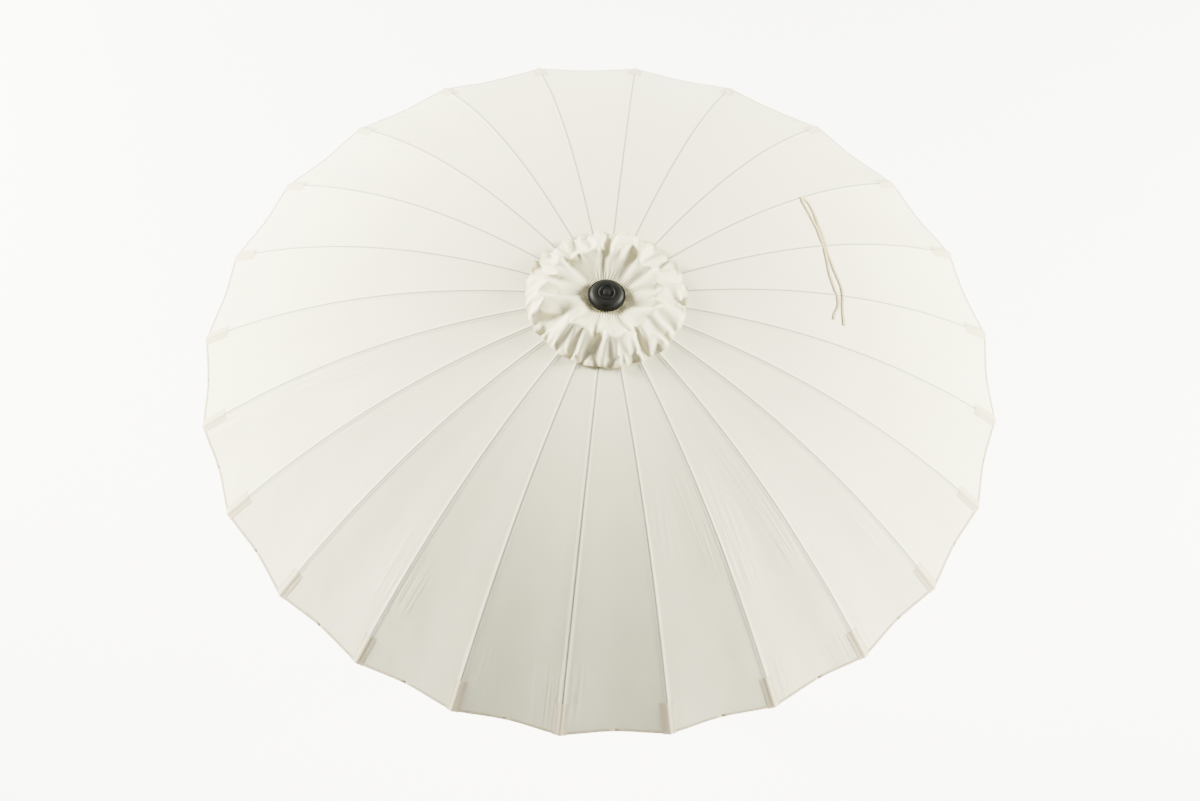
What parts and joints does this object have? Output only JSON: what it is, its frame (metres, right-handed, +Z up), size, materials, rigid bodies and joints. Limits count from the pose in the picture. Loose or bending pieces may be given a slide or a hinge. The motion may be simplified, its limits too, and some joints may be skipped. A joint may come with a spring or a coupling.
{
  "type": "garden parasol",
  "caption": "Round ribbed garden parasol with a cream fabric canopy, a small vent cap, a black finial, a straight pole, and a crank that folds the ribs down to the pole.",
  "frame": {"origin": "middle of the flat underside of the pole's foot plug", "axes": "+Z up along the pole, +X along the first rib; the crank stands on the -Y side"},
  "size_m": [2.7012, 2.7012, 2.4649],
  "materials": {
    "cream_fabric": "plain woven cream polyester canvas, matte",
    "cream_tape": "narrow woven tape, slightly shiny",
    "black_plastic": "moulded black plastic, fine matte grain",
    "glassfibre": "pultruded grey glass fibre, satin",
    "white_metal": "powder coated off-white"
  },
  "bodies": {
    "pole": {"crown_hub": "black_plastic", "finial": "black_plastic", "canopy": "cream_fabric", "vent_cap": "cream_fabric", "upper_pole": "white_metal", "lower_pole": "white_metal", "crank_housing": "black_plastic", "foot_plug": "black_plastic"},
    "runner": {"runner": "black_plastic"},
    "rib_01": {"rib_01": "glassfibre"},
    "strut_01": {"strut_01": "white_metal"},
    "rib_02": {"rib_02": "glassfibre"},
    "strut_02": {"strut_02": "white_metal"},
    "rib_03": {"rib_03": "glassfibre"},
    "strut_03": {"strut_03": "white_metal"},
    "rib_04": {"rib_04": "glassfibre", "tie_tape": "cream_tape"},
    "strut_04": {"strut_04": "white_metal"},
    "rib_05": {"rib_05": "glassfibre"},
    "strut_05": {"strut_05": "white_metal"},
    "rib_06": {"rib_06": "glassfibre"},
    "strut_06": {"strut_06": "white_metal"},
    "rib_07": {"rib_07": "glassfibre"},
    "strut_07": {"strut_07": "white_metal"},
    "rib_08": {"rib_08": "glassfibre"},
    "strut_08": {"strut_08": "white_metal"},
    "rib_09": {"rib_09": "glassfibre"},
    "strut_09": {"strut_09": "white_metal"},
    "rib_10": {"rib_10": "glassfibre"},
    "strut_10": {"strut_10": "white_metal"},
    "rib_11": {"rib_11": "glassfibre"},
    "strut_11": {"strut_11": "white_metal"},
    "rib_12": {"rib_12": "glassfibre"},
    "strut_12": {"strut_12": "white_metal"},
    "rib_13": {"rib_13": "glassfibre"},
    "strut_13": {"strut_13": "white_metal"},
    "rib_14": {"rib_14": "glassfibre"},
    "strut_14": {"strut_14": "white_metal"},
    "rib_15": {"rib_15": "glassfibre"},
    "strut_15": {"strut_15": "white_metal"},
    "rib_16": {"rib_16": "glassfibre"},
    "strut_16": {"strut_16": "white_metal"},
    "rib_17": {"rib_17": "glassfibre"},
    "strut_17": {"strut_17": "white_metal"},
    "rib_18": {"rib_18": "glassfibre"},
    "strut_18": {"strut_18": "white_metal"},
    "rib_19": {"rib_19": "glassfibre"},
    "strut_19": {"strut_19": "white_metal"},
    "rib_20": {"rib_20": "glassfibre"},
    "strut_20": {"strut_20": "white_metal"},
    "rib_21": {"rib_21": "glassfibre"},
    "strut_21": {"strut_21": "white_metal"},
    "rib_22": {"rib_22": "glassfibre"},
    "strut_22": {"strut_22": "white_metal"},
    "rib_23": {"rib_23": "glassfibre"},
    "strut_23": {"strut_23": "white_metal"},
    "rib_24": {"rib_24": "glassfibre"},
    "strut_24": {"strut_24": "white_metal"},
    "crank": {"crank_handle": "black_plastic", "cord_spool": "black_plastic"}
  },
  "joints": [
    {"name": "runner_slide", "type": "slide", "parent": "pole", "child": "runner", "axis": [0, 0, 1], "range_m": [-0.82605, 0], "deforming": ["canopy", "vent_cap"]},
    {"name": "rib_01_hinge", "type": "hinge", "parent": "pole", "child": "rib_01", "pos_m": [0.04495, 0, 2.41922], "axis": [0, 1, 0], "range_deg": [0, 69.42]},
    {"name": "strut_01_hinge", "type": "hinge", "parent": "rib_01", "child": "strut_01", "pos_m": [0.61559, 0, 2.32936], "axis": [0, -1, 0], "range_deg": [0, 124.09]},
    {"name": "rib_02_hinge", "type": "hinge", "parent": "pole", "child": "rib_02", "pos_m": [0.04342, 0.01163, 2.41922], "axis": [-0.2588, 0.9659, 0], "range_deg": [0, 69.42]},
    {"name": "strut_02_hinge", "type": "hinge", "parent": "rib_02", "child": "strut_02", "pos_m": [0.59461, 0.15933, 2.32936], "axis": [0.2588, -0.9659, 0], "range_deg": [0, 124.09]},
    {"name": "rib_03_hinge", "type": "hinge", "parent": "pole", "child": "rib_03", "pos_m": [0.03893, 0.02248, 2.41922], "axis": [-0.5, 0.866, 0], "range_deg": [0, 69.42]},
    {"name": "strut_03_hinge", "type": "hinge", "parent": "rib_03", "child": "strut_03", "pos_m": [0.53312, 0.30779, 2.32936], "axis": [0.5, -0.866, 0], "range_deg": [0, 124.09]},
    {"name": "rib_04_hinge", "type": "hinge", "parent": "pole", "child": "rib_04", "pos_m": [0.03179, 0.03179, 2.41922], "axis": [-0.7071, 0.7071, 0], "range_deg": [0, 69.42], "deforming": ["tie_tape"]},
    {"name": "strut_04_hinge", "type": "hinge", "parent": "rib_04", "child": "strut_04", "pos_m": [0.43529, 0.43529, 2.32936], "axis": [0.7071, -0.7071, 0], "range_deg": [0, 124.09]},
    {"name": "rib_05_hinge", "type": "hinge", "parent": "pole", "child": "rib_05", "pos_m": [0.02248, 0.03893, 2.41922], "axis": [-0.866, 0.5, 0], "range_deg": [0, 69.42]},
    {"name": "strut_05_hinge", "type": "hinge", "parent": "rib_05", "child": "strut_05", "pos_m": [0.30779, 0.53312, 2.32936], "axis": [0.866, -0.5, 0], "range_deg": [0, 124.09]},
    {"name": "rib_06_hinge", "type": "hinge", "parent": "pole", "child": "rib_06", "pos_m": [0.01163, 0.04342, 2.41922], "axis": [-0.9659, 0.2588, 0], "range_deg": [0, 69.42]},
    {"name": "strut_06_hinge", "type": "hinge", "parent": "rib_06", "child": "strut_06", "pos_m": [0.15933, 0.59461, 2.32936], "axis": [0.9659, -0.2588, 0], "range_deg": [0, 124.09]},
    {"name": "rib_07_hinge", "type": "hinge", "parent": "pole", "child": "rib_07", "pos_m": [0, 0.04495, 2.41922], "axis": [-1, 0, 0], "range_deg": [0, 69.42]},
    {"name": "strut_07_hinge", "type": "hinge", "parent": "rib_07", "child": "strut_07", "pos_m": [0, 0.61559, 2.32936], "axis": [1, 0, 0], "range_deg": [0, 124.09]},
    {"name": "rib_08_hinge", "type": "hinge", "parent": "pole", "child": "rib_08", "pos_m": [-0.01163, 0.04342, 2.41922], "axis": [-0.9659, -0.2588, 0], "range_deg": [0, 69.42]},
    {"name": "strut_08_hinge", "type": "hinge", "parent": "rib_08", "child": "strut_08", "pos_m": [-0.15933, 0.59461, 2.32936], "axis": [0.9659, 0.2588, 0], "range_deg": [0, 124.09]},
    {"name": "rib_09_hinge", "type": "hinge", "parent": "pole", "child": "rib_09", "pos_m": [-0.02248, 0.03893, 2.41922], "axis": [-0.866, -0.5, 0], "range_deg": [0, 69.42]},
    {"name": "strut_09_hinge", "type": "hinge", "parent": "rib_09", "child": "strut_09", "pos_m": [-0.30779, 0.53312, 2.32936], "axis": [0.866, 0.5, 0], "range_deg": [0, 124.09]},
    {"name": "rib_10_hinge", "type": "hinge", "parent": "pole", "child": "rib_10", "pos_m": [-0.03179, 0.03179, 2.41922], "axis": [-0.7071, -0.7071, 0], "range_deg": [0, 69.42]},
    {"name": "strut_10_hinge", "type": "hinge", "parent": "rib_10", "child": "strut_10", "pos_m": [-0.43529, 0.43529, 2.32936], "axis": [0.7071, 0.7071, 0], "range_deg": [0, 124.09]},
    {"name": "rib_11_hinge", "type": "hinge", "parent": "pole", "child": "rib_11", "pos_m": [-0.03893, 0.02248, 2.41922], "axis": [-0.5, -0.866, 0], "range_deg": [0, 69.42]},
    {"name": "strut_11_hinge", "type": "hinge", "parent": "rib_11", "child": "strut_11", "pos_m": [-0.53312, 0.30779, 2.32936], "axis": [0.5, 0.866, 0], "range_deg": [0, 124.09]},
    {"name": "rib_12_hinge", "type": "hinge", "parent": "pole", "child": "rib_12", "pos_m": [-0.04342, 0.01163, 2.41922], "axis": [-0.2588, -0.9659, 0], "range_deg": [0, 69.42]},
    {"name": "strut_12_hinge", "type": "hinge", "parent": "rib_12", "child": "strut_12", "pos_m": [-0.59461, 0.15933, 2.32936], "axis": [0.2588, 0.9659, 0], "range_deg": [0, 124.09]},
    {"name": "rib_13_hinge", "type": "hinge", "parent": "pole", "child": "rib_13", "pos_m": [-0.04495, 0, 2.41922], "axis": [0, -1, 0], "range_deg": [0, 69.42]},
    {"name": "strut_13_hinge", "type": "hinge", "parent": "rib_13", "child": "strut_13", "pos_m": [-0.61559, 0, 2.32936], "axis": [0, 1, 0], "range_deg": [0, 124.09]},
    {"name": "rib_14_hinge", "type": "hinge", "parent": "pole", "child": "rib_14", "pos_m": [-0.04342, -0.01163, 2.41922], "axis": [0.2588, -0.9659, 0], "range_deg": [0, 69.42]},
    {"name": "strut_14_hinge", "type": "hinge", "parent": "rib_14", "child": "strut_14", "pos_m": [-0.59461, -0.15933, 2.32936], "axis": [-0.2588, 0.9659, 0], "range_deg": [0, 124.09]},
    {"name": "rib_15_hinge", "type": "hinge", "parent": "pole", "child": "rib_15", "pos_m": [-0.03893, -0.02248, 2.41922], "axis": [0.5, -0.866, 0], "range_deg": [0, 69.42]},
    {"name": "strut_15_hinge", "type": "hinge", "parent": "rib_15", "child": "strut_15", "pos_m": [-0.53312, -0.30779, 2.32936], "axis": [-0.5, 0.866, 0], "range_deg": [0, 124.09]},
    {"name": "rib_16_hinge", "type": "hinge", "parent": "pole", "child": "rib_16", "pos_m": [-0.03179, -0.03179, 2.41922], "axis": [0.7071, -0.7071, 0], "range_deg": [0, 69.42]},
    {"name": "strut_16_hinge", "type": "hinge", "parent": "rib_16", "child": "strut_16", "pos_m": [-0.43529, -0.43529, 2.32936], "axis": [-0.7071, 0.7071, 0], "range_deg": [0, 124.09]},
    {"name": "rib_17_hinge", "type": "hinge", "parent": "pole", "child": "rib_17", "pos_m": [-0.02248, -0.03893, 2.41922], "axis": [0.866, -0.5, 0], "range_deg": [0, 69.42]},
    {"name": "strut_17_hinge", "type": "hinge", "parent": "rib_17", "child": "strut_17", "pos_m": [-0.30779, -0.53312, 2.32936], "axis": [-0.866, 0.5, 0], "range_deg": [0, 124.09]},
    {"name": "rib_18_hinge", "type": "hinge", "parent": "pole", "child": "rib_18", "pos_m": [-0.01163, -0.04342, 2.41922], "axis": [0.9659, -0.2588, 0], "range_deg": [0, 69.42]},
    {"name": "strut_18_hinge", "type": "hinge", "parent": "rib_18", "child": "strut_18", "pos_m": [-0.15933, -0.59461, 2.32936], "axis": [-0.9659, 0.2588, 0], "range_deg": [0, 124.09]},
    {"name": "rib_19_hinge", "type": "hinge", "parent": "pole", "child": "rib_19", "pos_m": [0, -0.04495, 2.41922], "axis": [1, 0, 0], "range_deg": [0, 69.42]},
    {"name": "strut_19_hinge", "type": "hinge", "parent": "rib_19", "child": "strut_19", "pos_m": [0, -0.61559, 2.32936], "axis": [-1, 0, 0], "range_deg": [0, 124.09]},
    {"name": "rib_20_hinge", "type": "hinge", "parent": "pole", "child": "rib_20", "pos_m": [0.01163, -0.04342, 2.41922], "axis": [0.9659, 0.2588, 0], "range_deg": [0, 69.42]},
    {"name": "strut_20_hinge", "type": "hinge", "parent": "rib_20", "child": "strut_20", "pos_m": [0.15933, -0.59461, 2.32936], "axis": [-0.9659, -0.2588, 0], "range_deg": [0, 124.09]},
    {"name": "rib_21_hinge", "type": "hinge", "parent": "pole", "child": "rib_21", "pos_m": [0.02248, -0.03893, 2.41922], "axis": [0.866, 0.5, 0], "range_deg": [0, 69.42]},
    {"name": "strut_21_hinge", "type": "hinge", "parent": "rib_21", "child": "strut_21", "pos_m": [0.30779, -0.53312, 2.32936], "axis": [-0.866, -0.5, 0], "range_deg": [0, 124.09]},
    {"name": "rib_22_hinge", "type": "hinge", "parent": "pole", "child": "rib_22", "pos_m": [0.03179, -0.03179, 2.41922], "axis": [0.7071, 0.7071, 0], "range_deg": [0, 69.42]},
    {"name": "strut_22_hinge", "type": "hinge", "parent": "rib_22", "child": "strut_22", "pos_m": [0.43529, -0.43529, 2.32936], "axis": [-0.7071, -0.7071, 0], "range_deg": [0, 124.09]},
    {"name": "rib_23_hinge", "type": "hinge", "parent": "pole", "child": "rib_23", "pos_m": [0.03893, -0.02248, 2.41922], "axis": [0.5, 0.866, 0], "range_deg": [0, 69.42]},
    {"name": "strut_23_hinge", "type": "hinge", "parent": "rib_23", "child": "strut_23", "pos_m": [0.53312, -0.30779, 2.32936], "axis": [-0.5, -0.866, 0], "range_deg": [0, 124.09]},
    {"name": "rib_24_hinge", "type": "hinge", "parent": "pole", "child": "rib_24", "pos_m": [0.04342, -0.01163, 2.41922], "axis": [0.2588, 0.9659, 0], "range_deg": [0, 69.42]},
    {"name": "strut_24_hinge", "type": "hinge", "parent": "rib_24", "child": "strut_24", "pos_m": [0.59461, -0.15933, 2.32936], "axis": [-0.2588, -0.9659, 0], "range_deg": [0, 124.09]},
    {"name": "crank_spin", "type": "hinge", "parent": "pole", "child": "crank", "pos_m": [0, -0.074, 0.9], "axis": [0, -1, 0], "range_deg": [-3381.7, 0]}
  ],
  "couplings": [
    {"joint": "rib_01_hinge", "follows": "runner_slide", "rad_per_m": -1.4657},
    {"joint": "strut_01_hinge", "follows": "runner_slide", "rad_per_m": -2.6208},
    {"joint": "rib_02_hinge", "follows": "runner_slide", "rad_per_m": -1.4657},
    {"joint": "strut_02_hinge", "follows": "runner_slide", "rad_per_m": -2.6208},
    {"joint": "rib_03_hinge", "follows": "runner_slide", "rad_per_m": -1.4657},
    {"joint": "strut_03_hinge", "follows": "runner_slide", "rad_per_m": -2.6208},
    {"joint": "rib_04_hinge", "follows": "runner_slide", "rad_per_m": -1.4657},
    {"joint": "strut_04_hinge", "follows": "runner_slide", "rad_per_m": -2.6208},
    {"joint": "rib_05_hinge", "follows": "runner_slide", "rad_per_m": -1.4657},
    {"joint": "strut_05_hinge", "follows": "runner_slide", "rad_per_m": -2.6208},
    {"joint": "rib_06_hinge", "follows": "runner_slide", "rad_per_m": -1.4657},
    {"joint": "strut_06_hinge", "follows": "runner_slide", "rad_per_m": -2.6208},
    {"joint": "rib_07_hinge", "follows": "runner_slide", "rad_per_m": -1.4657},
    {"joint": "strut_07_hinge", "follows": "runner_slide", "rad_per_m": -2.6208},
    {"joint": "rib_08_hinge", "follows": "runner_slide", "rad_per_m": -1.4657},
    {"joint": "strut_08_hinge", "follows": "runner_slide", "rad_per_m": -2.6208},
    {"joint": "rib_09_hinge", "follows": "runner_slide", "rad_per_m": -1.4657},
    {"joint": "strut_09_hinge", "follows": "runner_slide", "rad_per_m": -2.6208},
    {"joint": "rib_10_hinge", "follows": "runner_slide", "rad_per_m": -1.4657},
    {"joint": "strut_10_hinge", "follows": "runner_slide", "rad_per_m": -2.6208},
    {"joint": "rib_11_hinge", "follows": "runner_slide", "rad_per_m": -1.4657},
    {"joint": "strut_11_hinge", "follows": "runner_slide", "rad_per_m": -2.6208},
    {"joint": "rib_12_hinge", "follows": "runner_slide", "rad_per_m": -1.4657},
    {"joint": "strut_12_hinge", "follows": "runner_slide", "rad_per_m": -2.6208},
    {"joint": "rib_13_hinge", "follows": "runner_slide", "rad_per_m": -1.4657},
    {"joint": "strut_13_hinge", "follows": "runner_slide", "rad_per_m": -2.6208},
    {"joint": "rib_14_hinge", "follows": "runner_slide", "rad_per_m": -1.4657},
    {"joint": "strut_14_hinge", "follows": "runner_slide", "rad_per_m": -2.6208},
    {"joint": "rib_15_hinge", "follows": "runner_slide", "rad_per_m": -1.4657},
    {"joint": "strut_15_hinge", "follows": "runner_slide", "rad_per_m": -2.6208},
    {"joint": "rib_16_hinge", "follows": "runner_slide", "rad_per_m": -1.4657},
    {"joint": "strut_16_hinge", "follows": "runner_slide", "rad_per_m": -2.6208},
    {"joint": "rib_17_hinge", "follows": "runner_slide", "rad_per_m": -1.4657},
    {"joint": "strut_17_hinge", "follows": "runner_slide", "rad_per_m": -2.6208},
    {"joint": "rib_18_hinge", "follows": "runner_slide", "rad_per_m": -1.4657},
    {"joint": "strut_18_hinge", "follows": "runner_slide", "rad_per_m": -2.6208},
    {"joint": "rib_19_hinge", "follows": "runner_slide", "rad_per_m": -1.4657},
    {"joint": "strut_19_hinge", "follows": "runner_slide", "rad_per_m": -2.6208},
    {"joint": "rib_20_hinge", "follows": "runner_slide", "rad_per_m": -1.4657},
    {"joint": "strut_20_hinge", "follows": "runner_slide", "rad_per_m": -2.6208},
    {"joint": "rib_21_hinge", "follows": "runner_slide", "rad_per_m": -1.4657},
    {"joint": "strut_21_hinge", "follows": "runner_slide", "rad_per_m": -2.6208},
    {"joint": "rib_22_hinge", "follows": "runner_slide", "rad_per_m": -1.4657},
    {"joint": "strut_22_hinge", "follows": "runner_slide", "rad_per_m": -2.6208},
    {"joint": "rib_23_hinge", "follows": "runner_slide", "rad_per_m": -1.4657},
    {"joint": "strut_23_hinge", "follows": "runner_slide", "rad_per_m": -2.6208},
    {"joint": "rib_24_hinge", "follows": "runner_slide", "rad_per_m": -1.4657},
    {"joint": "strut_24_hinge", "follows": "runner_slide", "rad_per_m": -2.6208},
    {"joint": "crank_spin", "follows": "runner_slide", "rad_per_m": 71.429}
  ]
}
